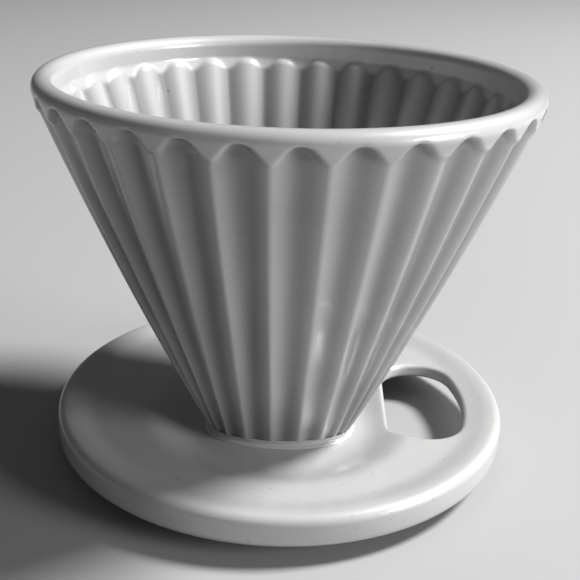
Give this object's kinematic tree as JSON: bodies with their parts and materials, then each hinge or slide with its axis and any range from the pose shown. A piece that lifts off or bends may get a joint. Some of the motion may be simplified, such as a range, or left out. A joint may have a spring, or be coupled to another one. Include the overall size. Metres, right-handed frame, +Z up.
{
  "type": "pour over dripper",
  "caption": "Ceramic pour-over coffee dripper: a fluted funnel with an oval foot on a round saucer with a finger hole.",
  "frame": {"origin": "centre of the foot of the locating ring, on the funnel's axis, at the lowest point of the object", "axes": "+Z up along the funnel's axis; X along the long way of the funnel's oval foot, +X towards the finger hole; the saucer's centre lies 8.3 mm along +Y"},
  "size_m": [0.1056, 0.1131, 0.0892],
  "materials": {
    "funnel_glaze": "gloss",
    "saucer_glaze": "gloss",
    "joint_glaze": "gloss",
    "bare_clay": "matte"
  },
  "bodies": {
    "root": {"fluted_funnel": "funnel_glaze", "saucer_plate": "saucer_glaze", "locating_ring": "bare_clay", "outer_joint_bead": "joint_glaze", "inner_joint_bead": "joint_glaze"}
  },
  "joints": []
}
